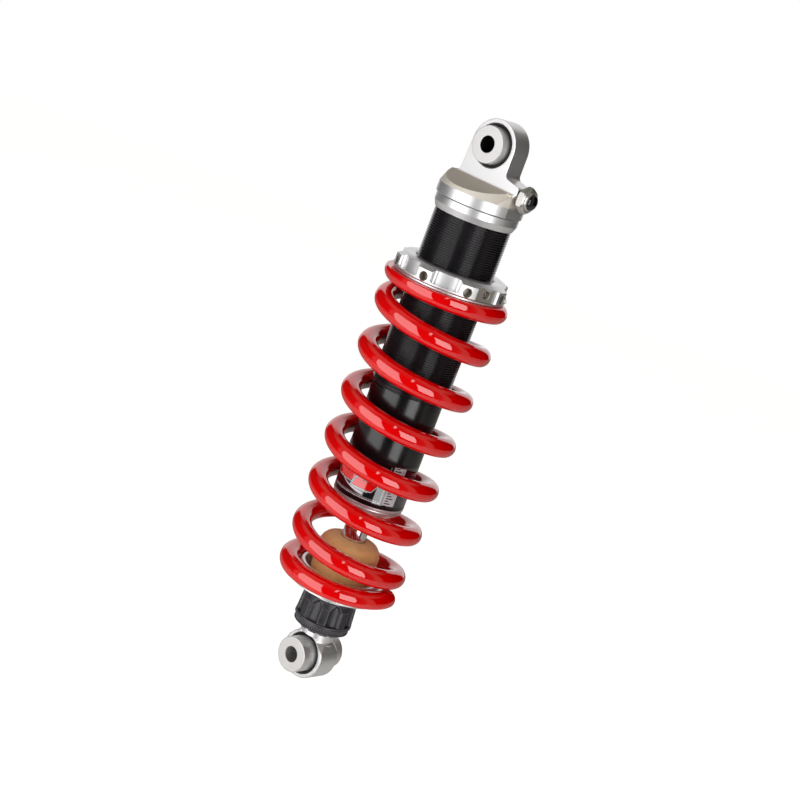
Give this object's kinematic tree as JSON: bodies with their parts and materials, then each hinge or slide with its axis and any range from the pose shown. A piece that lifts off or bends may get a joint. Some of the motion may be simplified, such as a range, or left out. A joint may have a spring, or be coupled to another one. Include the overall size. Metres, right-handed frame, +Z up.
{
  "type": "rear shock absorber",
  "caption": "Coil-over rear shock absorber with a threaded monotube damper, preload ring, rebound knob, bump stop and an eye bearing at each end.",
  "frame": {"origin": "centre of the top eye, on the axis of its bolt", "axes": "+Z up along the damper's axis, away from the lower eye; +Y along both mounting bolts, towards the rear face; +X towards the gas valve"},
  "size_m": [0.0821, 0.082, 0.383],
  "materials": {
    "machined_aluminium": "satin turned and milled aluminium, clear anodised",
    "spacer_aluminium": "finely turned, satin",
    "steel": "bright machined steel",
    "chrome": "hard chrome, ground and polished",
    "black_anodised": "black hard anodised, glossy",
    "black_plastic": "moulded, semi-matt",
    "rubber": "smooth moulded rubber",
    "red_spring": "thick glossy red coating",
    "foam": "matt cellular polyurethane",
    "bronze": "plain bearing bronze"
  },
  "bodies": {
    "damper_body": {"top_eye_head": "machined_aluminium", "gas_valve": "steel", "gas_valve_seal": "rubber", "gas_valve_cap": "black_plastic", "body_lock_ring": "machined_aluminium", "body_tube": "black_anodised", "seal_head": "machined_aluminium", "seal_head_oring": "rubber", "rod_bushing": "bronze", "rod_seal": "rubber", "dust_wiper": "rubber", "top_bearing_race": "steel", "top_seal_front": "rubber", "top_seal_rear": "rubber"},
    "top_sleeve": {"top_bearing_ball": "steel", "top_spacer_front": "spacer_aluminium", "top_spacer_rear": "spacer_aluminium"},
    "gas_piston": {"floating_piston": "machined_aluminium", "floating_piston_seal": "rubber"},
    "seat": {"spring_seat": "machined_aluminium"},
    "preload_ring": {"preload_ring": "machined_aluminium", "clamp_screw": "steel"},
    "piston": {"damper_piston": "machined_aluminium", "piston_band": "bronze", "compression_shims": "steel", "rebound_shims": "steel", "piston_nut": "steel"},
    "rod": {"damper_rod": "chrome", "top_out_bumper": "rubber", "bump_stop": "foam", "main_spring": "red_spring", "spring_perch": "machined_aluminium", "detent_ring": "black_plastic", "lower_eye": "machined_aluminium", "lower_bearing_race": "steel", "lower_seal_front": "rubber", "lower_seal_rear": "rubber"},
    "knob": {"rebound_knob": "black_plastic"},
    "needle": {"metering_needle": "steel", "adjuster_pin": "steel"},
    "lower_sleeve": {"lower_bearing_ball": "steel", "lower_spacer_front": "spacer_aluminium", "lower_spacer_rear": "spacer_aluminium"}
  },
  "joints": [
    {"name": "damper_stroke", "type": "slide", "parent": "damper_body", "child": "piston", "axis": [0, 0, 1], "range_m": [0, 0.046], "stiffness_N_per_m": 130000, "deforming": ["main_spring", "bump_stop"]},
    {"name": "rod_swivel", "type": "hinge", "parent": "piston", "child": "rod", "pos_m": [0, 0, -0.2], "axis": [0, 0, 1], "range_deg": [-180, 180]},
    {"name": "gas_piston_travel", "type": "slide", "parent": "damper_body", "child": "gas_piston", "axis": [0, 0, 1], "range_m": [0, 0.0068]},
    {"name": "preload_travel", "type": "slide", "parent": "damper_body", "child": "seat", "axis": [0, 0, 1], "range_m": [0, 0.03]},
    {"name": "preload_turn", "type": "hinge", "parent": "seat", "child": "preload_ring", "pos_m": [0, 0, -0.0837], "axis": [0, 0, 1], "range_deg": [0, 7210]},
    {"name": "rebound_adjust", "type": "hinge", "parent": "rod", "child": "knob", "pos_m": [0, 0, -0.32], "axis": [0, 0, 1], "range_deg": [-721, 721]},
    {"name": "needle_travel", "type": "slide", "parent": "rod", "child": "needle", "axis": [0, 0, 1], "range_m": [-0.0015, 0.0015]},
    {"name": "top_eye_pivot", "type": "hinge", "parent": "damper_body", "child": "top_sleeve", "pos_m": [0, 0, 0], "axis": [0, 1, 0], "continuous": true},
    {"name": "lower_eye_pivot", "type": "hinge", "parent": "rod", "child": "lower_sleeve", "pos_m": [0, 0, -0.35], "axis": [0, 1, 0], "continuous": true}
  ],
  "couplings": [
    {"joint": "gas_piston_travel", "follows": "damper_stroke", "ratio": 0.1451},
    {"joint": "preload_turn", "follows": "preload_travel", "rad_per_m": 4188.8},
    {"joint": "rebound_adjust", "follows": "needle_travel", "rad_per_m": 8377.6}
  ]
}
